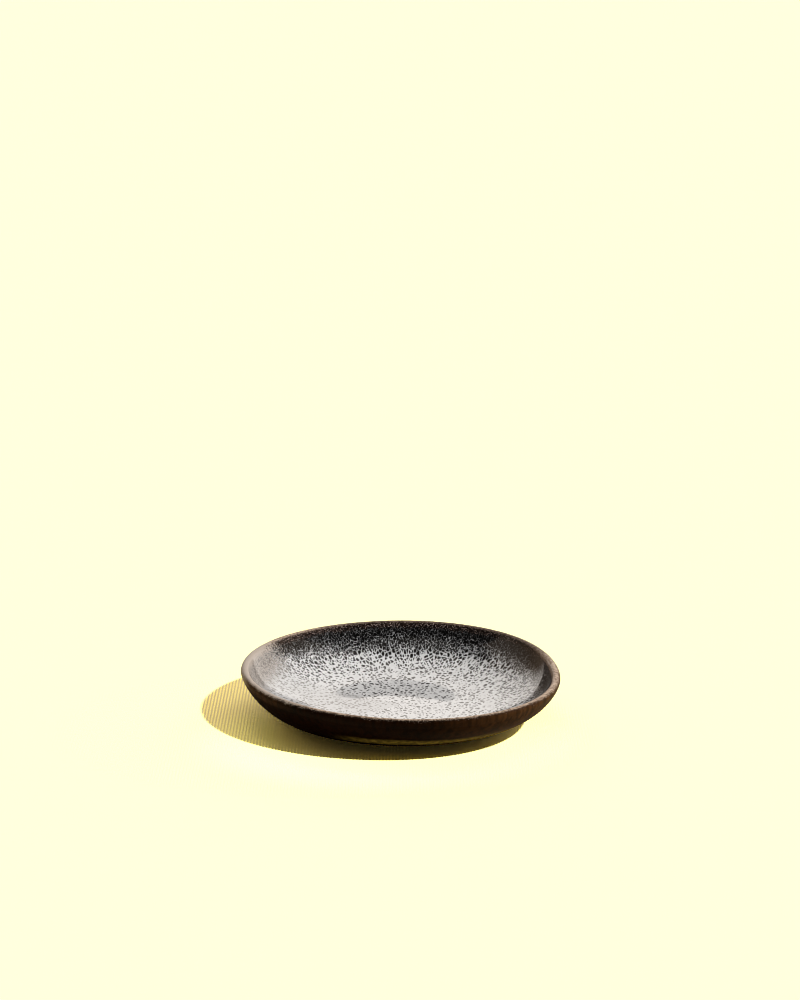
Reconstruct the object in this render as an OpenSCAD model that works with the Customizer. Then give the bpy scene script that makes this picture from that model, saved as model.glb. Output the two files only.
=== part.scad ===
// Small hand-shaped stoneware dish for soy sauce: a low wall that leaves the foot almost level and turns up
// steeply under a rounded lip, round a well that is flat only in its middle. Glaze coats of real thickness
// lie over the clay.
// The origin is on the table, under the middle of the rim, and +Z is up.

/* [Rim] */
// Mean radius of the rim, over the glaze
rim_r = 55; // [48:0.5:70]
// Mean height of the lip above the table, over the glaze
rim_h = 17; // [14:0.5:24]
// Thickness of the clay at the lip
lip_t = 2.2; // [1.6:0.1:3]

/* [Wall] */
// Outward lean of the outside just under the lip, in degrees
outside_lean = 18; // [8:1:24]
// Rise of the outside where it leaves the foot, in degrees
outside_rise = 5; // [0:1:8]
// Outward lean of the inside just under the lip, in degrees
inside_lean = 26; // [20:1:34]

/* [Floor of the well] */
// Thickness of the clay floor above the foot, before its dip and its tilt
floor_t = 2.2; // [2:0.1:3]
// Radius of the flat middle of the floor
floor_r = 16; // [10:0.5:22]
// How far the floor dips from there to its middle
floor_dip = 0.1; // [0:0.05:0.3]
// Tilt of the hand-made floor, in degrees
floor_tilt = 2; // [0:0.5:2]
// Direction in which the tilted floor falls, in degrees round the dish from +X
tilt_way = 10; // [-180:5:180]

/* [Foot ring] */
// Outer radius of the foot ring
foot_r = 34.3; // [28:0.1:38]
// Width of the foot ring, from its outer to its inner wall
foot_w = 3.6; // [2.8:0.1:6]
// Height of the foot ring
foot_h = 1.2; // [1:0.1:2.4]
// Radius of the two worn edges that the foot stands between
foot_edge_r = 0.5; // [0.3:0.05:0.5]

/* [Glaze] */
// Thickness of the glaze coats
glaze_t = 0.4; // [0.25:0.05:0.6]
// Bare clay left between the foot ring and the glaze inside it
bare_gap = 0.9; // [0.5:0.1:2]

/* [Hidden] */

// The rim was pressed out of round by hand. Each row is the cosine and sine share of the mean radius for one,
// two, three and four waves round the rim.
outline_shares = [[0.022, -0.006], [-0.022, -0.009], [-0.023, -0.007], [-0.004, -0.001]];
// The lip rises and falls a little as well: shares of the mean height for one and two waves.
lip_wave_shares = [[-0.034, 0.056], [0.011, -0.014]];

// How far each side of the wall runs on from the foot or the floor before it turns up, as a share of its
// reach, and how far it runs straight under the lip, as a share of its rise
outside_turn_shares = [0.58, 0.28];
inside_turn_shares = [0.58, 0.7];

// Where the coats meet along the outside and the inside, as shares of the curve up to the lip
glaze_start_share = 0.03;
band_outside_share = 0.9;
band_inside_share = 0.9;

// Stretches of the section, in the order in which they follow each other
OUTSIDE = 0;
LIP = 1;
INSIDE = 2;
FLOOR = 3;

// Steps along each stretch, and round the dish
outside_steps = 9;
band_steps = 2;
lip_steps = 6;
inside_steps = 10;
floor_steps = 3;
round_steps = 64;
$fn = 96;

clay_tone = [0.42, 0.34, 0.27];
foot_tone = [0.55, 0.45, 0.36];
dark_tone = [0.12, 0.08, 0.06];
rust_tone = [0.4, 0.28, 0.22];
speckle_tone = [0.72, 0.71, 0.7];

lip_r = lip_t / 2;
floor_z = foot_h + floor_t;
underside_r = foot_r - foot_w - bare_gap;

function mix(a, b, share) = a + (b - a) * share;
function waves(shares, angle) =
    [for (i = [0 : len(shares) - 1]) shares[i] * [cos((i + 1) * angle), sin((i + 1) * angle)]]
    * [for (s = shares) 1];

// The clay of the lip is round. This gives its middle at an angle round the dish, and the direction out of it
// at a share of the way over it, from the outside to the inside.
function lip_middle(angle) =
    [rim_r * (1 + waves(outline_shares, angle)), rim_h * (1 + waves(lip_wave_shares, angle))]
    - (glaze_t + lip_r) * [1, 1];
function lip_way(share) =
    let (turned = mix(-outside_lean, 180 - inside_lean, share))
    [cos(turned), sin(turned)];

// Slope of the floor away from its middle, at an angle round the dish, and a point of the floor at a share of
// the way from its middle to floor_r
function floor_slope(angle) = -tan(floor_tilt) * cos(angle - tilt_way);
function floor_point(share, angle) =
    [floor_r * share, floor_z + floor_r * share * floor_slope(angle) - floor_dip * pow(1 - share * share, 2)];

// Each side of the wall is one curve of four control points. It leaves start at a slope, and meets the lip
// leaning out.
function side(start, slope, lip, lean, turn_shares) =
    [start,
     start + turn_shares[0] * (lip.x - start.x) * [1, slope],
     lip - turn_shares[1] * (lip.y - start.y) * [tan(lean), 1],
     lip];
function outside_curve(angle) =
    side([foot_r, foot_h], tan(outside_rise), lip_middle(angle) + lip_r * lip_way(0), outside_lean,
         outside_turn_shares);
function inside_curve(angle) =
    side(floor_point(1, angle), floor_slope(angle), lip_middle(angle) + lip_r * lip_way(1), inside_lean,
         inside_turn_shares);

function on_curve(c, t) =
    pow(1 - t, 3) * c[0] + 3 * t * pow(1 - t, 2) * c[1] + 3 * t * t * (1 - t) * c[2] + pow(t, 3) * c[3];
function curve_normal(c, t) =
    let (run = pow(1 - t, 2) * (c[1] - c[0]) + 2 * t * (1 - t) * (c[2] - c[1]) + t * t * (c[3] - c[2]))
    [run.y, -run.x] / norm(run);

// A station is a stretch and a share along it. This gives its point on the clay, as radius and height, and
// the direction in which the glaze lies on it.
function on_clay(station, angle) =
    let (
        stretch = station[0],
        share = station[1],
        c = stretch == OUTSIDE ? outside_curve(angle) : inside_curve(angle)
    )
    stretch == OUTSIDE ? [on_curve(c, share), curve_normal(c, share)]
    : stretch == LIP ? [lip_middle(angle) + lip_r * lip_way(share), lip_way(share)]
    : stretch == INSIDE ? [on_curve(c, share), -curve_normal(c, share)]
    : [floor_point(share, angle), [0, 1]];

function around(p, angle) = [p.x * cos(angle), p.x * sin(angle), p.y];
function ring(station, lift) =
    [for (j = [0 : round_steps - 1])
        let (angle = 360 * j / round_steps, p = on_clay(station, angle))
        around(p[0] + lift * p[1], angle)];

// Triangles between two corners that follow each other round the dish. Both sides of a coat are cut along
// the same diagonal, so that a coat lies on the clay face to face.
function quad(a, b, c, d, outward) = outward ? [[a, c, b], [a, d, c]] : [[a, b, c], [a, c, d]];
function corner(first, k, j) = first + k * round_steps + j % round_steps;
function band_faces(first, rings, outward) =
    [for (k = [0 : rings - 2], j = [0 : round_steps - 1])
        each quad(corner(first, k, j), corner(first, k, j + 1),
                  corner(first, k + 1, j + 1), corner(first, k + 1, j), outward)];
function cap_faces(first, k, middle, outward) =
    [for (j = [0 : round_steps - 1])
        outward ? [corner(first, k, j + 1), corner(first, k, j), middle]
        : [corner(first, k, j), corner(first, k, j + 1), middle]];

outside_stations = [for (i = [0 : outside_steps])
    [OUTSIDE, mix(glaze_start_share, band_outside_share, i / outside_steps)]];
rim_stations = concat(
    [for (i = [0 : band_steps - 1]) [OUTSIDE, mix(band_outside_share, 1, i / band_steps)]],
    [for (i = [0 : lip_steps]) [LIP, i / lip_steps]],
    [for (i = [1 : band_steps]) [INSIDE, mix(1, band_inside_share, i / band_steps)]]);
inside_stations = concat(
    [for (i = [0 : inside_steps]) [INSIDE, mix(band_inside_share, 0, i / inside_steps)]],
    [for (i = [1 : floor_steps - 1]) [FLOOR, 1 - i / floor_steps]]);
floor_middle = [FLOOR, 0];

function after_first(list) = [for (i = [1 : len(list) - 1]) list[i]];

// A coat of glaze from its first station to its last, closed by a step at each end
module coat(stations) {
    n = len(stations);
    clay = n * round_steps;
    points = [for (lift = [glaze_t, 0], s = stations) each ring(s, lift)];
    edges = [for (j = [0 : round_steps - 1])
        each concat(
            quad(corner(0, 0, j), corner(0, 0, j + 1), corner(clay, 0, j + 1), corner(clay, 0, j), false),
            quad(corner(0, n - 1, j + 1), corner(0, n - 1, j),
                 corner(clay, n - 1, j), corner(clay, n - 1, j + 1), false))];
    polyhedron(points, concat(band_faces(0, n, true), band_faces(clay, n, false), edges));
}

// Fired clay: the floor, the wall and the lip in one closed shell, with a flat underside
module clay_body() {
    stations = concat(
        [[OUTSIDE, 0]], outside_stations, after_first(rim_stations), after_first(inside_stations));
    n = len(stations);
    under = n * round_steps;
    middles = [[0, 0, foot_h], around(on_clay(floor_middle, 0)[0], 0)];
    points = concat([for (s = stations) each ring(s, 0)], middles);
    color(clay_tone)
        polyhedron(points, concat(
            band_faces(0, n, true), cap_faces(0, 0, under, false), cap_faces(0, n - 1, under + 1, true)));
}

// Foot ring, turned round and bare, with worn edges where it stands on the table
module foot_ring() {
    color(foot_tone)
        rotate_extrude()
            translate([foot_r - foot_w, 0]) {
                translate([0, foot_edge_r]) square([foot_w, foot_h - foot_edge_r]);
                translate([foot_edge_r, 0]) square([foot_w - 2 * foot_edge_r, foot_h]);
                for (x = [foot_edge_r, foot_w - foot_edge_r])
                    translate([x, foot_edge_r]) circle(foot_edge_r);
            }
}

// Dark glaze on the outside of the wall, which stops short of the foot
module outside_glaze() {
    color(dark_tone) coat(outside_stations);
}

// Rust-brown band where the glaze runs thin over the lip
module rim_glaze() {
    color(rust_tone) coat(rim_stations);
}

// Speckled glaze over the inside of the wall and the floor of the well
module inside_glaze() {
    n = len(inside_stations);
    clay = n * round_steps;
    middle = 2 * clay;
    middles = [for (lift = [glaze_t, 0]) let (p = on_clay(floor_middle, 0)) around(p[0] + lift * p[1], 0)];
    points = concat([for (lift = [glaze_t, 0], s = inside_stations) each ring(s, lift)], middles);
    edge = [for (j = [0 : round_steps - 1])
        each quad(corner(0, 0, j), corner(0, 0, j + 1), corner(clay, 0, j + 1), corner(clay, 0, j), false)];
    color(speckle_tone)
        polyhedron(points, concat(
            band_faces(0, n, true), band_faces(clay, n, false), edge,
            cap_faces(0, n - 1, middle, true), cap_faces(clay, n - 1, middle + 1, false)));
}

// Pool of dark glaze inside the foot ring, with a rounded edge
module underside_glaze() {
    color(dark_tone)
        rotate_extrude()
            translate([0, foot_h - glaze_t])
                intersection() {
                    square([underside_r, glaze_t]);
                    union() {
                        square([underside_r - glaze_t, glaze_t]);
                        translate([underside_r - glaze_t, glaze_t]) circle(glaze_t);
                    }
                }
}

clay_body();
foot_ring();
outside_glaze();
rim_glaze();
inside_glaze();
underside_glaze();
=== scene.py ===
import math

import bmesh
import bpy
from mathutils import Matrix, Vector, noise


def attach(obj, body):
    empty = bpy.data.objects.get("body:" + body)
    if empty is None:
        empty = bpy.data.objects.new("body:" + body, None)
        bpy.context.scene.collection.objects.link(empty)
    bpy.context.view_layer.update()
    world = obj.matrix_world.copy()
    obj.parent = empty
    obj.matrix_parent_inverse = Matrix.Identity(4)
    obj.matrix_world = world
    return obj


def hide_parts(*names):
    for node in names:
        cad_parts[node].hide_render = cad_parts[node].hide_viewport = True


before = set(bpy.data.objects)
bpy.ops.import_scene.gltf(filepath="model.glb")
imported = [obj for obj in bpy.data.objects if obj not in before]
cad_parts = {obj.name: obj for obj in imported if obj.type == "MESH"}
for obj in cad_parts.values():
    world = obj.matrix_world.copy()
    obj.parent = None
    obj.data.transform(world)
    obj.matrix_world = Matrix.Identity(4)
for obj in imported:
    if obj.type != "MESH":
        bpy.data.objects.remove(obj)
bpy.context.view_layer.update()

# Camera. It stands a metre away, 17.5 degrees above the table, and looks past the dish, which sits low in
# an upright picture of 800 by 1000.
scene = bpy.context.scene
picture_w, picture_h = 800, 1000
sensor = 36.0
focal_px = 2955
foot_px = (400.3, 714.7)
camera_distance = 1.0
camera_rise = math.radians(17.5)

camera_data = bpy.data.cameras.new("camera")
camera_data.sensor_width = sensor
camera_data.lens = focal_px / picture_h * sensor
camera = bpy.data.objects.new("camera", camera_data)
scene.collection.objects.link(camera)
pitch = camera_rise - math.atan((foot_px[1] - picture_h / 2) / focal_px)
yaw = math.atan((foot_px[0] - picture_w / 2) / focal_px)
camera.location = (0, -camera_distance * math.cos(camera_rise), camera_distance * math.sin(camera_rise))
camera.rotation_euler = (math.pi / 2 - pitch, 0, yaw)
scene.camera = camera

# Light. A small bright lamp high on the right, a little in front, throws the shadow to the left. The room
# is very bright behind the dish, pale at both sides, dim overhead and low in front, and dark elsewhere.
sun_way = Vector((0.85, -0.53, 1.0)).normalized()
sun_power = 2.6
sun_width = math.radians(2.5)
room_bright = (1.35, 1.25, 1.15, 1)
room_low, room_pale = (0.25, 0.17, 0.11, 1), (0.54, 0.43, 0.34, 1)
room_overhead = (0.27, 0.25, 0.22, 1)
room_front = (0.09, 0.08, 0.08, 1)
room_dark = (0.014, 0.012, 0.010, 1)
room_seen = (1.0, 0.97, 0.70, 1)
pixel_blur = 1.0

# Edges of the room's parts, in degrees round from straight behind the dish, and up from the table
sides_left, sides_right, sides_top = (-91, -86), (92, 86), (54, 44)
bright_left, bright_right, bright_top = (-36, -22), (66, 58), (68, 60)
front_round, front_top = (96, 104), (18, 12)
pale_up, overhead_up = (12, 34), (64, 72)


def node(tree, kind, inputs=None, **settings):
    """A node of a tree, with its settings, and its inputs set to values or linked to sockets."""
    made = tree.nodes.new(kind)
    for name, value in settings.items():
        setattr(made, name, value)
    for name, value in (inputs or {}).items():
        if isinstance(value, bpy.types.NodeSocket):
            tree.links.new(value, made.inputs[name])
        else:
            made.inputs[name].default_value = value
    return made


def maths(tree, operation, *values):
    """The result of one Math node."""
    return node(tree, "ShaderNodeMath", dict(enumerate(values)), operation=operation).outputs[0]


def rise(tree, value, low, high):
    """A smooth rise from 0 to 1 as value goes from low to high, or a fall if high is below low."""
    if high > low:
        ends = {"From Min": low, "From Max": high, "To Min": 0.0, "To Max": 1.0}
    else:
        ends = {"From Min": high, "From Max": low, "To Min": 1.0, "To Max": 0.0}
    return node(tree, "ShaderNodeMapRange", {"Value": value, **ends},
                interpolation_type="SMOOTHSTEP").outputs["Result"]


def blend(tree, share, first, second, kind="RGBA"):
    """A mix of two colours, or of two values if kind is FLOAT."""
    return node(tree, "ShaderNodeMix", {"Factor": share, "A": first, "B": second},
                data_type=kind).outputs["Result"]


sun_data = bpy.data.lights.new("lamp", "SUN")
sun_data.energy = sun_power
sun_data.angle = sun_width
sun = bpy.data.objects.new("lamp", sun_data)
sun.rotation_euler = sun_way.to_track_quat("Z", "Y").to_euler()
sun.visible_glossy = False
scene.collection.objects.link(sun)

room = bpy.data.worlds.new("room")
room.use_nodes = True
scene.world = room
air = room.node_tree
looking = node(air, "ShaderNodeTexCoord").outputs["Generated"]
way = node(air, "ShaderNodeSeparateXYZ", {0: looking}).outputs
azimuth = maths(air, "MULTIPLY", maths(air, "ARCTAN2", way["X"], way["Y"]), math.degrees(1))
height = maths(air, "MULTIPLY", maths(air, "ARCSINE", way["Z"]), math.degrees(1))
at_sides = maths(air, "MULTIPLY", rise(air, azimuth, *sides_left), rise(air, azimuth, *sides_right))
at_sides = maths(air, "MULTIPLY", at_sides, rise(air, height, *sides_top))
behind = maths(air, "MULTIPLY", rise(air, azimuth, *bright_left), rise(air, azimuth, *bright_right))
behind = maths(air, "MULTIPLY", behind, rise(air, height, *bright_top))
in_front = rise(air, maths(air, "ABSOLUTE", azimuth), *front_round)
in_front = maths(air, "MULTIPLY", in_front, rise(air, height, *front_top))
around = blend(air, rise(air, height, *pale_up), room_low, room_pale)
around = blend(air, at_sides, room_dark, around)
around = blend(air, rise(air, height, *overhead_up), around, room_overhead)
around = blend(air, in_front, around, room_front)
around = blend(air, behind, around, room_bright)
around = blend(air, node(air, "ShaderNodeLightPath").outputs["Is Camera Ray"], around, room_seen)
air.links.new(around, air.nodes["Background"].inputs["Color"])

scene.view_settings.view_transform = "Standard"
scene.cycles.filter_width = pixel_blur

# Table. One plain pale floor of paper, wide enough to fill every view from above. The camera sees it
# brighter than it lights the dish. Where the shadow falls it is painted brighter still, painted light that
# lifts the shadow, and its fine ribs show there too. In front of the dish it is painted paler and cooler,
# painted light that lifts the shade near the dish. Sizes and places are in metres.
floor_half = 12.0
floor_colour, floor_seen = (0.85, 0.72, 0.34, 1), (1.5, 1.45, 0.82, 1)
# Painted light: where the shadow falls, the camera sees the floor brighter still, which lifts the shadow
shadow_painted_lift = (3.05, 2.62, 0.82, 1)
shade_middle, shade_squeeze, shade_fade = (-0.025, -0.015, 0), (0.75, 1, 0), (0.074, 0.060)
# Painted light: in front of the dish the floor is painted paler and cooler, which lifts the shade there
front_painted_light = (1.7, 1.85, 1.4, 1)
front_middle, front_squeeze, front_fade = (-0.005, -0.030, 0), (0.8, 1, 0), (0.056, 0.025)
rib_pitch, rib_tone = 0.00106, (0.5, 0.5, 1, 1)
plain = (1, 1, 1, 1)


def tinted(tree, first, second):
    """The product of two colours."""
    return node(tree, "ShaderNodeMix", {"Factor": 1.0, "A": first, "B": second}, data_type="RGBA",
                blend_type="MULTIPLY").outputs["Result"]


def new_material(name, roughness, specular):
    """A new material, its tree, its shader, and the place of a point of the piece in metres."""
    made = bpy.data.materials.new(name)
    made.use_nodes = True
    tree = made.node_tree
    shader = tree.nodes["Principled BSDF"]
    shader.inputs["Roughness"].default_value = roughness
    shader.inputs["Specular IOR Level"].default_value = specular
    return made, tree, shader, node(tree, "ShaderNodeTexCoord").outputs["Object"]


def patch(tree, place, middle, squeeze, fade):
    """A mask that is 1 round a middle and falls to 0 at a distance, in a space squeezed along its axes."""
    away = node(tree, "ShaderNodeVectorMath", {0: place, 1: middle}, operation="SUBTRACT").outputs[0]
    away = node(tree, "ShaderNodeVectorMath", {0: away, 1: squeeze}, operation="MULTIPLY").outputs[0]
    distance = node(tree, "ShaderNodeVectorMath", {0: away}, operation="LENGTH").outputs["Value"]
    return rise(tree, distance, *fade)


floor_mesh = bpy.data.meshes.new("floor")
floor_build = bmesh.new()
bmesh.ops.create_grid(floor_build, x_segments=1, y_segments=1, size=floor_half)
floor_build.to_mesh(floor_mesh)
floor_build.free()
floor = bpy.data.objects.new("floor", floor_mesh)
scene.collection.objects.link(floor)

paper, tree, shader, place = new_material("pale_paper", roughness=0.9, specular=0.1)
across = node(tree, "ShaderNodeSeparateXYZ", {0: place}).outputs["X"]
wave = maths(tree, "SINE", maths(tree, "MULTIPLY", across, 2 * math.pi / rib_pitch))
ribs = blend(tree, rise(tree, wave, -1, 1), rib_tone, plain)
# Masks of the painted light in the shadow and in front of the dish
in_shade = patch(tree, place, shade_middle, shade_squeeze, shade_fade)
front_light_share = patch(tree, place, front_middle, front_squeeze, front_fade)
seen = tinted(tree, blend(tree, in_shade, floor_seen, shadow_painted_lift), blend(tree, front_light_share, plain, front_painted_light))
camera_sees = node(tree, "ShaderNodeLightPath").outputs["Is Camera Ray"]
paper_tone = tinted(tree, blend(tree, camera_sees, floor_colour, seen), blend(tree, in_shade, plain, ribs))
tree.links.new(paper_tone, shader.inputs["Base Color"])
floor_mesh.materials.append(paper)

# Clay body. Dark stoneware, thrown as a low round dish and pressed out of round by hand while soft. All of
# it lies under the glaze but a thin bare line on each side of the foot.
mm = 0.001
rim_r = 55 * mm
rim_h = 17 * mm
lip_r = 1.1 * mm
outside_lean, inside_lean = math.radians(18), math.radians(26)
outside_slope = math.tan(math.radians(5))
floor_t, floor_r, floor_dip = 2.2 * mm, 16 * mm, 0.1 * mm
floor_fall, fall_way = math.tan(math.radians(2)), math.radians(10)
foot_r = 34.3 * mm
foot_h = 1.2 * mm
glaze_t = 0.4 * mm
outside_turn_shares, inside_turn_shares = (0.58, 0.28), (0.58, 0.7)
glaze_start_share, band_outside_share, band_inside_share = 0.03, 0.9, 0.9
outline_shares = ((0.022, -0.006), (-0.022, -0.009), (-0.023, -0.007), (-0.004, -0.001))
lip_wave_shares = ((-0.034, 0.056), (0.011, -0.014))
turns, sectors = 640, 16
roll_steps, outside_steps, band_steps, lip_steps, inside_steps, floor_steps = 8, 34, 8, 28, 56, 16
roll_share, near_share = 0.014, 0.03
crease_angle = math.radians(40)
merge_reach = 0.001 * mm
fired_fall = 0.10 * mm
swell_size, swell_h = 28 * mm, 0.02 * mm
lip_bumps, bump_h, bump_reach = ((0.8 * mm, 1), (0.45 * mm, 0.6)), 0.03 * mm, 2.4
least_bump = 0.01
body_step = 2
clay_colour = (0.30, 0.21, 0.145, 1)
clay_bump = 0.05


def spread(start, end, steps):
    """Shares from start to end, with one more just inside each end, so that coats meet without a crease."""
    inner = [i / steps for i in range(1, steps)]
    return [start + (end - start) * s for s in [0, near_share / steps, *inner, 1 - near_share / steps, 1]]


# The section has a station at each step: a stretch of it, and a share of the way along the stretch. The
# outside glaze starts with a rolled edge.
UNDER, OUTSIDE, LIP, INSIDE, FLOOR = range(5)
rolled_end = glaze_start_share + roll_share
roll_turns = [math.pi / 2 * i / roll_steps for i in range(roll_steps)]
stations = [(UNDER, 0), (OUTSIDE, 0)]
outside_start = len(stations)
stations += [(OUTSIDE, rolled_end - roll_share * math.cos(turn)) for turn in roll_turns]
stations += [(OUTSIDE, share) for share in spread(rolled_end, band_outside_share, outside_steps)]
band_start = len(stations) - 1
stations += [(OUTSIDE, share) for share in spread(band_outside_share, 1, band_steps)[1:]]
crest = len(stations) + lip_steps // 2
stations += [(LIP, i / lip_steps) for i in range(1, lip_steps)]
stations += [(INSIDE, share) for share in spread(1, band_inside_share, band_steps)]
well_start = len(stations) - 1
stations += [(INSIDE, share) for share in spread(band_inside_share, 0, inside_steps)[1:]]
stations += [(FLOOR, 1 - i / floor_steps) for i in range(1, floor_steps + 1)]
middle_station = len(stations) - 1


def waves(shares, angle):
    """The wave that pairs of cosine and sine shares make round the dish."""
    return sum(c * math.cos((i + 1) * angle) + s * math.sin((i + 1) * angle)
               for i, (c, s) in enumerate(shares))


def lip_way(share):
    """The way out of the lip, at a share of the turn over it from the outside to the inside."""
    turned = (math.pi - inside_lean + outside_lean) * share - outside_lean
    return Vector((math.cos(turned), math.sin(turned)))


def side(start, slope, lip, lean, turn_shares):
    """The four control points of one side of the wall, which leaves start at a slope and meets the lip."""
    reach, climb = lip - start
    level = start + turn_shares[0] * reach * Vector((1, slope))
    upright = lip - turn_shares[1] * climb * Vector((math.tan(lean), 1))
    return start, level, upright, lip


def on_side(controls, t):
    """A point of one side of the wall, and the way to the right of its run."""
    start, level, upright, lip = controls
    place = (1 - t) ** 3 * start + 3 * t * (1 - t) ** 2 * level
    place += 3 * t * t * (1 - t) * upright + t ** 3 * lip
    run = (1 - t) ** 2 * (level - start) + 2 * t * (1 - t) * (upright - level) + t * t * (lip - upright)
    return place, Vector((run.y, -run.x)).normalized()


def section(angle):
    """Each station's point on the clay at an angle round the dish, and the way out of the clay there."""
    rim = Vector((rim_r * (1 + waves(outline_shares, angle)), rim_h * (1 + waves(lip_wave_shares, angle))))
    middle = rim - (glaze_t + lip_r) * Vector((1, 1))
    outside = side(Vector((foot_r, foot_h)), outside_slope, middle + lip_r * lip_way(0), outside_lean,
                   outside_turn_shares)
    slope = -floor_fall * math.cos(angle - fall_way)
    floor_edge = Vector((floor_r, foot_h + floor_t + floor_r * slope))
    inside = side(floor_edge, slope, middle + lip_r * lip_way(1), inside_lean, inside_turn_shares)
    points = []
    for stretch, share in stations:
        if stretch == OUTSIDE:
            place, way = on_side(outside, share)
        elif stretch == INSIDE:
            place, way = on_side(inside, share)
            way = -way
        elif stretch == LIP:
            way = lip_way(share)
            place = middle + lip_r * way
        elif stretch == FLOOR:
            way = Vector((0, 1))
            place = floor_edge - (1 - share) * floor_r * Vector((1, slope))
            place.y -= floor_dip * (1 - share * share) ** 2
        else:
            way = Vector((0, -1))
            place = Vector((0, foot_h))
        points.append((place, way))
    return points


sections = [section(2 * math.pi * i / turns) for i in range(turns)]

# The run of the glaze from the crest of the lip to each station, in mm, less than nothing on the outside
surface = [place + glaze_t * way for place, way in sections[0]]
runs = [0.0]
for last, here in zip(surface, surface[1:]):
    runs.append(runs[-1] + (here - last).length / mm)
runs = [run - runs[crest] for run in runs]


def spin_round(build, line, closed):
    """Spins a line of vertices round the dish: one sector first, then that sector all the way round."""
    pairs = zip(line, line[1:] + line[:1]) if closed else zip(line, line[1:])
    edges = [build.edges.new(pair) for pair in pairs]
    sector = 2 * math.pi / sectors
    bmesh.ops.spin(build, geom=line + edges, cent=(0, 0, 0), axis=(0, 0, 1), angle=sector,
                   steps=turns // sectors)
    bmesh.ops.spin(build, geom=build.verts[:] + build.edges[:] + build.faces[:], cent=(0, 0, 0),
                   axis=(0, 0, 1), angle=2 * math.pi - sector, steps=sectors - 1, use_duplicate=True)
    bmesh.ops.remove_doubles(build, verts=build.verts, dist=merge_reach)
    bmesh.ops.recalc_face_normals(build, faces=build.faces)


def uneven(point, run):
    """How far the fired glaze stands below its full thickness: slow waves, and small bumps on the lip."""
    fall = fired_fall - swell_h * noise.noise(point / swell_size)
    on_lip = math.exp(-(run / bump_reach) ** 2)
    if on_lip > least_bump:
        fall -= bump_h * on_lip * sum(share * noise.noise(point / size) for size, share in lip_bumps)
    return fall


def pressed(points, closed):
    """Spins (station number, lift) points round the dish, as a closed loop or a line that ends at the axis,
    and presses the spun shape out of round, as the real one was."""
    build = bmesh.new()
    which = build.verts.layers.int.new("which")
    run = build.verts.layers.float.new("run")
    line = []
    for i, (number, lift) in enumerate(points):
        place, way = sections[0][number]
        spot = place + lift * way
        vert = build.verts.new((spot.x, 0, spot.y))
        vert[which] = i
        vert[run] = runs[number]
        line.append(vert)
    spin_round(build, line, closed)
    for vert in build.verts:
        number, lift = points[vert[which]]
        angle = math.atan2(vert.co.y, vert.co.x)
        place, way = sections[round(angle / (2 * math.pi) * turns) % turns][number]
        spot = place + lift * way
        vert.co = (spot.x * math.cos(angle), spot.x * math.sin(angle), spot.y)
        if lift > 0:
            down = uneven(vert.co, runs[number]) * lift / glaze_t
            vert.co -= down * Vector((way.x * math.cos(angle), way.x * math.sin(angle), way.y))
    return build


def finish_piece(name, build, material, replaced):
    """The piece's object, at the origin, smooth but for its sharp edges, in place of its CAD node."""
    for face in build.faces:
        face.smooth = True
    for edge in build.edges:
        edge.smooth = edge.calc_face_angle(0) < crease_angle
    mesh = bpy.data.meshes.new(name)
    build.to_mesh(mesh)
    build.free()
    mesh.materials.append(material)
    piece = bpy.data.objects.new(name, mesh)
    scene.collection.objects.link(piece)
    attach(piece, "root")
    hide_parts(replaced)


def group(name, inputs, outputs):
    """An empty node group with named sockets, and the sockets inside it."""
    tree = bpy.data.node_groups.new(name, "ShaderNodeTree")
    for way, sockets in (("INPUT", inputs), ("OUTPUT", outputs)):
        for socket, kind in sockets.items():
            tree.interface.new_socket(socket, in_out=way, socket_type="NodeSocket" + kind)
    return tree, node(tree, "NodeGroupInput").outputs, node(tree, "NodeGroupOutput").inputs


def placed(tree, kind, inputs):
    """The outputs of a node group placed in a tree, with its inputs set or linked."""
    return node(tree, "ShaderNodeGroup", inputs, node_tree=kind).outputs


def noises(tree, place, size, detail=2.0, output="Fac"):
    """Noise of a size in mm, from 0 to 1. Its output Color is noise in three directions."""
    return node(tree, "ShaderNodeTexNoise",
                {"Vector": place, "Scale": 1 / size, "Detail": detail}).outputs[output]


def scaled(tree, vector, scale):
    """A vector times a number."""
    return node(tree, "ShaderNodeVectorMath", {0: vector, "Scale": scale}, operation="SCALE").outputs[0]


def added(tree, first, second):
    """The sum of two vectors."""
    return node(tree, "ShaderNodeVectorMath", {0: first, 1: second}, operation="ADD").outputs[0]


def fired_material(name, roughness, specular):
    """A new material of the dish, its tree, its shader, and the place of a point of the piece in mm."""
    made, tree, shader, place = new_material(name, roughness, specular)
    return made, tree, shader, scaled(tree, place, 1 / mm)


def bump(tree, shader, height, distance):
    """Lays a height, times a distance in mm, on a shader as bumps."""
    made = node(tree, "ShaderNodeBump", {"Height": height, "Distance": distance * mm})
    tree.links.new(made.outputs["Normal"], shader.inputs["Normal"])


# Fired clay's grain, with sizes in mm: it is mottled, with pale grit and dark iron spots
mottle_size, mottle_low, mottle_high = 2.5, (0.75, 0.72, 0.70, 1), (1.12, 1.1, 1.08, 1)
grit_size, grit_colour = 0.35, (0.52, 0.43, 0.34, 1)
iron_size, iron_colour = 1.3, (0.05, 0.028, 0.018, 1)
mottle_share, grit_share, iron_share = (0.3, 0.7), (0.58, 0.72), (0.17, 0.08)
mottle_lift = 0.6

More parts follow.
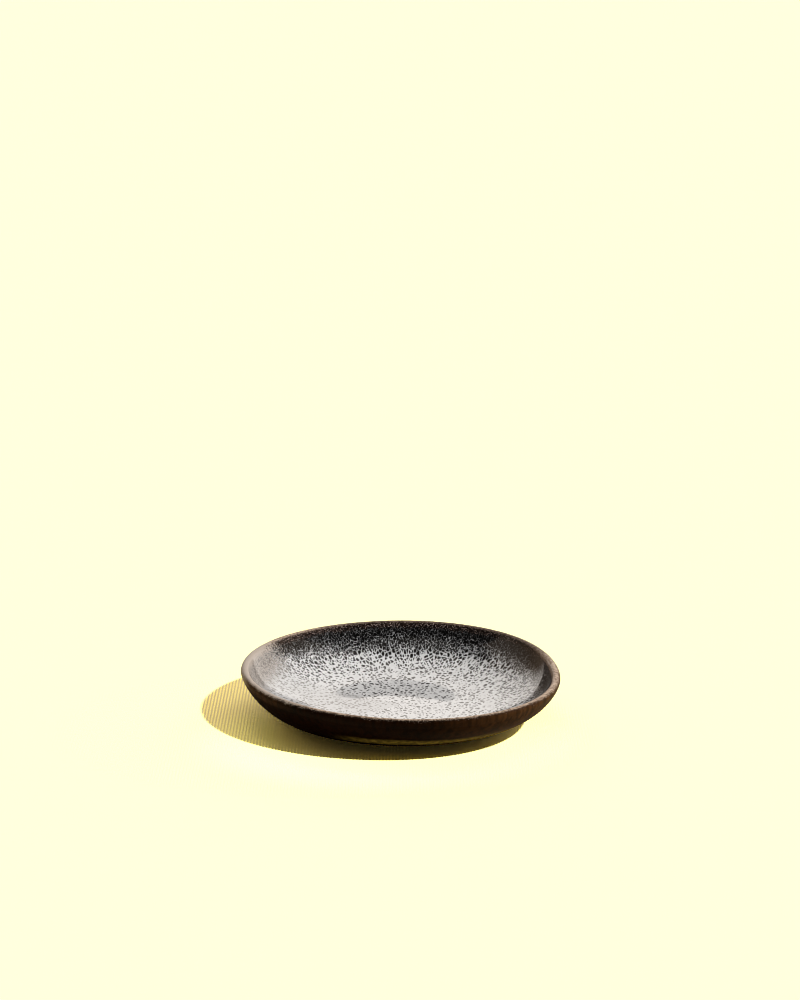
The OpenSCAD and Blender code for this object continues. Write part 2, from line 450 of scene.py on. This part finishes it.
clay_grain, given, result = group("clay_grain", {"Place": "Vector", "Color": "Color"},
                                  {"Color": "Color", "Height": "Float"})
mottle = noises(clay_grain, given["Place"], mottle_size, detail=4.0)
grit = noises(clay_grain, given["Place"], grit_size)
iron = node(clay_grain, "ShaderNodeTexVoronoi", {"Vector": given["Place"], "Scale": 1 / iron_size})
iron_spot = rise(clay_grain, iron.outputs["Distance"], *iron_share)
tone = blend(clay_grain, rise(clay_grain, mottle, *mottle_share), mottle_low, mottle_high)
gritty = blend(clay_grain, rise(clay_grain, grit, *grit_share), tinted(clay_grain, given["Color"], tone),
               grit_colour)
clay_grain.links.new(blend(clay_grain, iron_spot, gritty, iron_colour), result["Color"])
clay_grain.links.new(maths(clay_grain, "ADD", grit, maths(clay_grain, "MULTIPLY", mottle, mottle_lift)),
                     result["Height"])

clay, tree, shader, place = fired_material("clay", roughness=0.8, specular=0.4)
grain = placed(tree, clay_grain, {"Place": place, "Color": clay_colour})
tree.links.new(grain["Color"], shader.inputs["Base Color"])
bump(tree, shader, grain["Height"], clay_bump)

body_stations = [*range(outside_start), *range(outside_start, middle_station, body_step), middle_station]
body = pressed([(number, 0) for number in body_stations], False)
finish_piece("clay_body_form", body, clay, "clay_body")

# Foot ring. A low ring turned out of the same clay and left bare to stand on. Its two lower edges are
# rubbed round, and the face that it stands on is ground pale.
foot_w = 3.6 * mm
foot_edge_r = 0.5 * mm
foot_edge_steps = 5
sharp_angle = 1
rubbed, rubbed_size = 0.05 * mm, 2 * mm
foot_colour = (0.37, 0.27, 0.19, 1)
ground_colour, ground_up = (0.50, 0.40, 0.30, 1), (0.25, 0.02)
foot_bump = 0.06

foot = bmesh.new()
corners = ((foot_r, foot_h), (foot_r, 0), (foot_r - foot_w, 0), (foot_r - foot_w, foot_h))
spin_round(foot, [foot.verts.new((x, 0, z)) for x, z in corners], True)
low_edges = [edge for edge in foot.edges
             if max(vert.co.z for vert in edge.verts) < rubbed and edge.calc_face_angle() > sharp_angle]
bmesh.ops.bevel(foot, geom=low_edges, offset=foot_edge_r, segments=foot_edge_steps, profile=0.5,
                affect="EDGES", material=-1)
for vert in foot.verts:
    if 0 < vert.co.z < foot_h:
        worn = rubbed * (1 + noise.noise(vert.co / rubbed_size)) / 2
        across = Vector((vert.co.x, vert.co.y, 0))
        outer = 1 if across.length > foot_r - foot_w / 2 else -1
        vert.co -= outer * worn * across.normalized()

foot_clay, tree, shader, place = fired_material("foot_clay", roughness=0.85, specular=0.35)
up = node(tree, "ShaderNodeSeparateXYZ", {0: place}).outputs["Z"]
ground = blend(tree, rise(tree, up, *ground_up), foot_colour, ground_colour)
grain = placed(tree, clay_grain, {"Place": place, "Color": ground})
tree.links.new(grain["Color"], shader.inputs["Base Color"])
bump(tree, shader, grain["Height"], foot_bump)
finish_piece("foot_ring_form", foot, foot_clay, "foot_ring")

# Outside glaze. Nearly black brown, poured over the wall and wiped off just above the foot. It is warm
# brown on the right, in faint streaks, and under the lip on the left. Along its lower edge, everywhere but
# on
# the left, it is painted olive: a painted reflection of the lit yellow floor. Sizes and places are in mm.
pour_dark = (0.0088, 0.0026, 0.0006, 1)
pour_warm = (0.055, 0.024, 0.009, 1)
# Painted reflection: the olive stands in for the lit yellow floor seen in the glaze low on the wall
painted_floor_reflection = (0.20, 0.155, 0.038, 1)
warm_right, warm_left, warm_up = (14, 54), (-33, -49), (12.4, 14.4)
reflection_right, reflection_up, reflection_down = (-24, -8), (3.9, 4.9), (8.2, 6.2)
cloud_size, cloud_push, fleck_size = 9, 16, 0.8
streak_size, streak_draw, streak_share = 1.6, (1, 1, 0.22), (0.3, 0.7)
streak_low, streak_high = (0.55, 0.55, 0.55, 1), (1.5, 1.5, 1.5, 1)
pour_bump = 0.012
clay_side_step = 3

dark_pour, given, result = group("dark_pour", {"Place": "Vector"}, {"Color": "Color", "Height": "Float"})
cloud = noises(dark_pour, given["Place"], cloud_size, detail=3.0)
fleck = noises(dark_pour, given["Place"], fleck_size, detail=3.0)
drawn = node(dark_pour, "ShaderNodeVectorMath", {0: given["Place"], 1: streak_draw},
             operation="MULTIPLY").outputs[0]
streak = noises(dark_pour, drawn, streak_size, detail=3.0)
point = node(dark_pour, "ShaderNodeSeparateXYZ", {0: given["Place"]}).outputs
pushed = maths(dark_pour, "ADD", point["X"], maths(dark_pour, "MULTIPLY", cloud, cloud_push))
# Warmer brown towards the right, and under the lip on the left
left_edge = maths(dark_pour, "MULTIPLY", rise(dark_pour, point["X"], *warm_left),
                  rise(dark_pour, point["Z"], *warm_up))
warm_share = maths(dark_pour, "MAXIMUM", rise(dark_pour, pushed, *warm_right), left_edge)
# Where the painted floor reflection lies: along the lower edge, but not on the left
reflection_share = rise(dark_pour, maths(dark_pour, "ADD", point["Z"], cloud), *reflection_down)
reflection_share = maths(dark_pour, "MULTIPLY", reflection_share, rise(dark_pour, point["X"], *reflection_right))
reflection_share = maths(dark_pour, "MULTIPLY", reflection_share, rise(dark_pour, point["Z"], *reflection_up))
toned = blend(dark_pour, reflection_share, blend(dark_pour, warm_share, pour_dark, pour_warm), painted_floor_reflection)
streaks = blend(dark_pour, rise(dark_pour, streak, *streak_share), streak_low, streak_high)
dark_pour.links.new(tinted(dark_pour, toned, streaks), result["Color"])
dark_pour.links.new(fleck, result["Height"])

outside, tree, shader, place = fired_material("outside_glaze", roughness=0.5, specular=0.03)
poured = placed(tree, dark_pour, {"Place": place})
tree.links.new(poured["Color"], shader.inputs["Base Color"])
bump(tree, shader, poured["Height"], pour_bump)


def coat(first, last, roll=()):
    """A coat of glaze over stations first to last, which starts with a rolled edge or a plain one. Its side
    on the clay has fewer stations."""
    lifts = [glaze_t * math.sin(turn) for turn in roll]
    lifts += [glaze_t] * (last + 1 - first - len(lifts))
    points = [(first + i, lift) for i, lift in enumerate(lifts)]
    clay_first = first + clay_side_step if roll else first
    clay_side = [*range(clay_first, last, clay_side_step), last]
    points += [(number, 0) for number in reversed(clay_side)]
    return pressed(points, last < middle_station)


finish_piece("outside_glaze_form", coat(outside_start, band_start, roll_turns), outside,
             "outside_glaze")

# Inside glaze. It is white where it lies thick on the floor, and runs to black up the wall, where the
# white is drawn out into threads and specks. Its dark spots are small on the floor and long on the wall.
# The white reaches higher at both sides, and on the left it has pooled up to the rim, where its pale tone
# is partly the pooled glaze and partly painted sheen. Sizes are in mm.
white_low, white_high = (0.62, 0.625, 0.63, 1), (0.78, 0.785, 0.79, 1)
beige_low, beige_high = (0.12, 0.103, 0.09, 1), (0.36, 0.32, 0.285, 1)
black = (0.002, 0.002, 0.002, 1)
spot_grey, spot_pale = (0.06, 0.058, 0.058, 1), (0.22, 0.21, 0.20, 1)
mid_noise, least_radius = 0.5, 1.0
shift_size, shift_far = 1.1, 0.9
border_size, border_far = 7, 5.0
pool_way, pool_reach, pooled_up = (-0.985, -0.174), (0.58, 0.95), 9
ragged_size, ragged_far, ragged_share = 0.7, 1.8, (0.28, 0.78)
sides_up, sides_run, left_up = 4, (5, 9), 1.2

speckle_run, given, result = group("speckle_run", {"Place": "Vector", "Run": "Float"},
                                   {"Color": "Color", "White": "Float", "PoolAndSheen": "Float"})
shift = noises(speckle_run, given["Place"], shift_size, output="Color")
shift = scaled(speckle_run, added(speckle_run, shift, 3 * [-mid_noise]), shift_far)
moved = node(speckle_run, "ShaderNodeSeparateXYZ", {0: added(speckle_run, given["Place"], shift)}).outputs
lifted = node(speckle_run, "ShaderNodeSeparateXYZ", {0: shift}).outputs["Z"]
squares = maths(speckle_run, "ADD", maths(speckle_run, "MULTIPLY", moved["X"], moved["X"]),
                maths(speckle_run, "MULTIPLY", moved["Y"], moved["Y"]))
radius = maths(speckle_run, "MAXIMUM", maths(speckle_run, "SQRT", squares), least_radius)
around_x = maths(speckle_run, "DIVIDE", moved["X"], radius)
around_y = maths(speckle_run, "DIVIDE", moved["Y"], radius)
along = maths(speckle_run, "ADD", given["Run"], lifted)
border = noises(speckle_run, given["Place"], border_size)
run = maths(speckle_run, "ADD", given["Run"], maths(speckle_run, "MULTIPLY", border, border_far))
run = maths(speckle_run, "SUBTRACT", run, border_far * mid_noise)

# Where the white has pooled on the left, which also carries painted sheen there, and how many mm further it
# reaches up there and at both sides
towards_pool = maths(speckle_run, "ADD", maths(speckle_run, "MULTIPLY", around_x, pool_way[0]),
                     maths(speckle_run, "MULTIPLY", around_y, pool_way[1]))
ragged = noises(speckle_run, given["Place"], ragged_size, detail=3.0)
ragged = maths(speckle_run, "MULTIPLY", maths(speckle_run, "SUBTRACT", ragged, mid_noise), ragged_far)
pool_and_sheen = maths(speckle_run, "ADD", rise(speckle_run, towards_pool, *pool_reach), ragged)
pool_and_sheen = rise(speckle_run, pool_and_sheen, *ragged_share)
filled = maths(speckle_run, "ADD", run, maths(speckle_run, "MULTIPLY", pool_and_sheen, pooled_up))
up_left = maths(speckle_run, "MAXIMUM", maths(speckle_run, "MULTIPLY", around_x, -left_up), 0.0)
up_sides = maths(speckle_run, "MULTIPLY", maths(speckle_run, "MULTIPLY", around_x, around_x), sides_up)
up_sides = maths(speckle_run, "MULTIPLY", up_sides, rise(speckle_run, run, *sides_run))
filled = maths(speckle_run, "ADD", filled, maths(speckle_run, "ADD", up_sides, up_left))


def cell_layers(place, size):
    """Distance to the edge of each cell, as a share of its size, and a random number for each."""
    edge = node(speckle_run, "ShaderNodeTexVoronoi", {"Vector": place, "Scale": 1 / size},
                feature="DISTANCE_TO_EDGE").outputs["Distance"]
    lot = node(speckle_run, "ShaderNodeTexVoronoi", {"Vector": place, "Scale": 1 / size}).outputs["Color"]
    return edge, node(speckle_run, "ShaderNodeSeparateColor", {0: lot}).outputs[0]


def wall_cells(across, length):
    """Cells on the wall: across of them to a radian, each so many mm long. Their edge distance and lot."""
    place = node(speckle_run, "ShaderNodeCombineXYZ", {
        "X": maths(speckle_run, "MULTIPLY", around_x, across),
        "Y": maths(speckle_run, "MULTIPLY", around_y, across),
        "Z": maths(speckle_run, "DIVIDE", along, length)}).outputs[0]
    return cell_layers(place, 1.0)


# The cells are fine on the upper wall, wide below that, and as long as they are wide on the floor
fine_across, fine_length = 52, 1.3
wide_across, wide_length, wide_run = 38, 1.9, (10.3, 10.7)
flat_size, flat_run = 1.45, (20.8, 21.2)

fine_edge, fine_lot = wall_cells(fine_across, fine_length)
wide_edge, wide_lot = wall_cells(wide_across, wide_length)
flat_place = node(speckle_run, "ShaderNodeCombineXYZ", {"X": moved["X"], "Y": moved["Y"]}).outputs[0]
flat_edge, flat_lot = cell_layers(flat_place, flat_size)
to_wide = rise(speckle_run, run, *wide_run)
to_flat = rise(speckle_run, run, *flat_run)
edge = blend(speckle_run, to_wide, fine_edge, wide_edge, "FLOAT")
edge = blend(speckle_run, to_flat, edge, flat_edge, "FLOAT")
lot = blend(speckle_run, to_wide, fine_lot, wide_lot, "FLOAT")
lot = blend(speckle_run, to_flat, lot, flat_lot, "FLOAT")

# Width of the white round each cell, as a share of the cell, by the run of glaze from the lip
white_widths = ((2, 0), (4, 0.016), (6, 0.022), (8, 0.028), (10, 0.040), (12, 0.059), (14, 0.100),
                (17, 0.136), (20, 0.155), (24, 0.175), (29, 0.192), (60, 0.202))
longest_run = 60
vary_run, vary_low, vary_high = (6, 24), 0.03, 0.11
white_edge = (0.012, -0.012)
parted_size, parted_share, whole_run = 0.7, (0.40, 0.52), (8, 14)

widths = node(speckle_run, "ShaderNodeValToRGB", {"Fac": maths(speckle_run, "DIVIDE", filled, longest_run)})
stops = widths.color_ramp.elements
for i, (far, share) in enumerate(white_widths):
    stop = stops[i] if i < 2 else stops.new(far / longest_run)
    stop.position = far / longest_run
    stop.color = (share, share, share, 1)
varied = maths(speckle_run, "MULTIPLY", maths(speckle_run, "SUBTRACT", lot, mid_noise),
               blend(speckle_run, rise(speckle_run, run, *vary_run), vary_low, vary_high, "FLOAT"))
width = maths(speckle_run, "ADD", widths.outputs["Color"], varied)
white = rise(speckle_run, maths(speckle_run, "SUBTRACT", edge, width), *white_edge)
parted = noises(speckle_run, given["Place"], parted_size)
whole = maths(speckle_run, "MAXIMUM", rise(speckle_run, parted, *parted_share),
              rise(speckle_run, filled, *whole_run))
white = maths(speckle_run, "MULTIPLY", white, whole)

# The white's tone: dimmer in the thin threads and where it has pooled
veil_size = 3.2
thread_run, thread_dim, pooled_dim = (3, 10), 0.45, 0.85

veil = noises(speckle_run, given["Place"], veil_size, detail=3.0)
pale_tone = blend(speckle_run, veil, white_low, white_high)
thread = blend(speckle_run, rise(speckle_run, filled, *thread_run), thread_dim, 1.0, "FLOAT")
pale_tone = scaled(speckle_run, pale_tone, thread)
pale_tone = scaled(speckle_run, pale_tone, blend(speckle_run, pool_and_sheen, 1.0, pooled_dim, "FLOAT"))

# The tone of the dark: black, with a dust of grey specks on the upper wall, and grey on the floor
speck_size, speck_share = 0.75, (0.32, 0.22)
dust_colour = (1, 1, 1, 1)
dust_run, dust_low, dust_high = (5, 10), 0.06, 0.42
black_run, grey_run = (12, 20), (18, 34)

speck = node(speckle_run, "ShaderNodeTexVoronoi", {"Vector": given["Place"], "Scale": 1 / speck_size})
speck_lot = node(speckle_run, "ShaderNodeSeparateColor", {0: speck.outputs["Color"]}).outputs[0]
speck_mask = rise(speckle_run, speck.outputs["Distance"], *speck_share)
speck_tone = maths(speckle_run, "MULTIPLY", maths(speckle_run, "MULTIPLY", speck_lot, speck_mask),
                   blend(speckle_run, rise(speckle_run, run, *dust_run), dust_low, dust_high, "FLOAT"))
dusty = blend(speckle_run, speck_tone, black, dust_colour)
dark_tone = blend(speckle_run, rise(speckle_run, run, *black_run), dusty, black)
dark_tone = blend(speckle_run, rise(speckle_run, run, *grey_run), dark_tone, spot_grey)
dark_tone = blend(speckle_run, pool_and_sheen, dark_tone, spot_pale)
speckled = blend(speckle_run, white, dark_tone, pale_tone)

# High up in the pool the speckles are lost in mottled beige, which is partly painted sheen
mottled_size, mottled_share, beige_run = 0.6, (0.36, 0.56), (16, 7)

mottled = noises(speckle_run, given["Place"], mottled_size, detail=3.0)
beige = blend(speckle_run, rise(speckle_run, mottled, *mottled_share), beige_low, beige_high)
high_up = maths(speckle_run, "MULTIPLY", pool_and_sheen, rise(speckle_run, run, *beige_run))
speckle_run.links.new(blend(speckle_run, high_up, speckled, beige), result["Color"])
speckle_run.links.new(white, result["White"])
speckle_run.links.new(pool_and_sheen, result["PoolAndSheen"])

# Rim glaze. Over the lip the coat runs thin and breaks to rust brown, finely pitted, with pale grains and a
# pale crest. On the left the lip is pale, partly its own pooled glaze and partly painted sheen. Its inner
# side is glossy, as the well is. Sizes, places and runs are in mm.
rust_low, rust_high = (0.004, 0.002, 0.0016, 1), (0.027, 0.016, 0.012, 1)
rust_pool_and_sheen = (0.46, 0.39, 0.33, 1)
rust_middle, rust_reach = 1.3, (4.9, 3.3)
wander_size, wander_far, jitter_size, jitter_far = 4.0, 2.0, 0.5, 2.4
left_x, left_run = (-49, -53), (-3.2, -2.4)
grain_pale, grain_size, grain_reach, grain_edge = (0.32, 0.25, 0.22, 1), 0.42, 0.5, (0.05, -0.05)
grain_lift = 0.5
smoke_size, smoke_rust, smoke_crest = 0.9, (0.35, 0.65), (0.38, 0.58)
crest_low, crest_high = (0.22, 0.145, 0.10, 1), (0.52, 0.40, 0.30, 1)
crest_middle, crest_reach = 0.5, (1.9, 1.0)
crest_wide_x, crest_wider = (42, 51), 1.3
# The crest's painted shade towards the back, and its painted highlight on the right
crest_back, crest_back_reach, crest_painted_shade = (0.34, 0.94), (20, 44), (0.35, 0.33, 0.33, 1)
crest_right_x, crest_painted_highlight = (15, 50), (1.15, 1.15, 1.15, 1)
inner_run, gloss_run, gloss_roughness = (-0.5, 0.5), (1.2, 2.4), 0.06
rust_roughness, bare_roughness = 0.4, 0.5
rim_bump = 0.04

rust_break, given, result = group("rust_break", {
    "Place": "Vector", "Run": "Float", "Color": "Color", "PoolAndSheen": "Float"},
    {"Color": "Color", "Rust": "Float", "Height": "Float"})
point = node(rust_break, "ShaderNodeSeparateXYZ", {0: given["Place"]}).outputs
wander = noises(rust_break, given["Place"], wander_size, detail=3.0)
jitter = noises(rust_break, given["Place"], jitter_size)
off = maths(rust_break, "ADD", maths(rust_break, "MULTIPLY", wander, wander_far),
            maths(rust_break, "MULTIPLY", jitter, jitter_far))
from_middle = maths(rust_break, "ABSOLUTE", maths(rust_break, "SUBTRACT", given["Run"], rust_middle))
rust = rise(rust_break, maths(rust_break, "ADD", from_middle, off), *rust_reach)
left_rust = maths(rust_break, "MULTIPLY", rise(rust_break, point["X"], *left_x),
                  rise(rust_break, given["Run"], *left_run))
rust = maths(rust_break, "MAXIMUM", rust, left_rust)
grains = node(rust_break, "ShaderNodeTexVoronoi", {"Vector": given["Place"], "Scale": 1 / grain_size})
grain_lot = node(rust_break, "ShaderNodeSeparateColor", {0: grains.outputs["Color"]}).outputs[0]
past_grain = maths(rust_break, "SUBTRACT", grains.outputs["Distance"],
                   maths(rust_break, "MULTIPLY", grain_lot, grain_reach))
pale_grain = rise(rust_break, past_grain, *grain_edge)
smoke = noises(rust_break, given["Place"], smoke_size, detail=3.0)
rust_tone = blend(rust_break, rise(rust_break, smoke, *smoke_rust), rust_low, rust_high)
rust_tone = blend(rust_break, pale_grain, rust_tone, grain_pale)

# The crest is wider on the right, a painted highlight makes it a little brighter there, and painted shade
# makes it darker towards the back
from_top = maths(rust_break, "ABSOLUTE", maths(rust_break, "SUBTRACT", given["Run"], crest_middle))
from_top = maths(rust_break, "ADD", from_top, jitter)
wider = maths(rust_break, "MULTIPLY", rise(rust_break, point["X"], *crest_wide_x), crest_wider)
on_top = rise(rust_break, maths(rust_break, "SUBTRACT", from_top, wider), *crest_reach)
crest_tone = blend(rust_break, rise(rust_break, smoke, *smoke_crest), crest_low, crest_high)
towards_back = maths(rust_break, "ADD", maths(rust_break, "MULTIPLY", point["X"], crest_back[0]),
                     maths(rust_break, "MULTIPLY", point["Y"], crest_back[1]))
painted_shade = blend(rust_break, rise(rust_break, towards_back, *crest_back_reach), plain, crest_painted_shade)
painted_highlight = blend(rust_break, rise(rust_break, point["X"], *crest_right_x), plain, crest_painted_highlight)
crest_tone = tinted(rust_break, tinted(rust_break, crest_tone, painted_shade), painted_highlight)
rust_tone = blend(rust_break, on_top, rust_tone, crest_tone)
# On the left the lip is painted pale: partly the pooled glaze, partly painted sheen
rust_tone = blend(rust_break, given["PoolAndSheen"], rust_tone, rust_pool_and_sheen)
rust_break.links.new(blend(rust_break, rust, given["Color"], rust_tone), result["Color"])
rust_break.links.new(rust, result["Rust"])
lift = maths(rust_break, "ADD", smoke, maths(rust_break, "MULTIPLY", pale_grain, grain_lift))
rust_break.links.new(lift, result["Height"])

rim, tree, shader, place = fired_material("rim_glaze", roughness=0.4, specular=0.05)
run = node(tree, "ShaderNodeAttribute", attribute_name="run").outputs["Fac"]
poured = placed(tree, dark_pour, {"Place": place})
speckled = placed(tree, speckle_run, {"Place": place, "Run": run})
under_colour = blend(tree, rise(tree, run, *inner_run), poured["Color"], speckled["Color"])
broken = placed(tree, rust_break, {"Place": place, "Run": run, "Color": under_colour,
                                   "PoolAndSheen": speckled["PoolAndSheen"]})
tree.links.new(broken["Color"], shader.inputs["Base Color"])
tree.links.new(blend(tree, broken["Rust"], bare_roughness, rust_roughness, "FLOAT"),
               shader.inputs["Roughness"])
tree.links.new(rise(tree, run, *gloss_run), shader.inputs["Coat Weight"])
shader.inputs["Coat Roughness"].default_value = gloss_roughness
bump(tree, shader, broken["Height"], rim_bump)
finish_piece("rim_glaze_form", coat(band_start, well_start), rim, "rim_glaze")

# The inside glaze's own coat starts where the rim glaze ends, and rust breaks through its first few mm
smooth_run, upper_roughness, well_roughness = (3, 8), 0.12, 0.035
well_bump = 0.001

well, tree, shader, place = fired_material("inside_glaze", roughness=0.06, specular=0.5)
run = node(tree, "ShaderNodeAttribute", attribute_name="run").outputs["Fac"]
speckled = placed(tree, speckle_run, {"Place": place, "Run": run})
broken = placed(tree, rust_break, {"Place": place, "Run": run, "Color": speckled["Color"],
                                   "PoolAndSheen": speckled["PoolAndSheen"]})
tree.links.new(broken["Color"], shader.inputs["Base Color"])
tree.links.new(blend(tree, rise(tree, run, *smooth_run), upper_roughness, well_roughness, "FLOAT"),
               shader.inputs["Roughness"])
bump(tree, shader, speckled["White"], well_bump)
finish_piece("inside_glaze_form", coat(well_start, middle_station), well, "inside_glaze")

# Underside glaze. The same dark glaze, poured inside the foot ring, where it pooled to a rounded edge just
# short of the ring.
bare_gap = 0.9 * mm
under_r = foot_r - foot_w - bare_gap
under_steps = 8
edge_wander, edge_waves, edge_hold = 0.35 * mm, 4, 6
ripple_h, ripple_size = 0.05 * mm, 9 * mm

under = bmesh.new()
rounded = [math.pi / 2 * i / under_steps for i in range(under_steps + 1)]
profile = [(under_r - glaze_t + glaze_t * math.cos(turn), foot_h - glaze_t * math.sin(turn))
           for turn in rounded]
profile += [(under_r * (1 - i / under_steps), foot_h - glaze_t) for i in range(1, under_steps + 1)]
spin_round(under, [under.verts.new((x, 0, z)) for x, z in [(0, foot_h), *profile]], False)
for vert in under.verts:
    across = Vector((vert.co.x, vert.co.y, 0))
    share = across.length / under_r
    if share > 0:
        wave = (noise.noise(across.normalized() * edge_waves) - 1) / 2
        vert.co += edge_wander * wave * share ** edge_hold * across.normalized()
    if vert.co.z < foot_h - glaze_t / 2:
        vert.co.z += ripple_h * (1 + noise.noise(vert.co / ripple_size))
finish_piece("underside_glaze_form", under, outside, "underside_glaze")
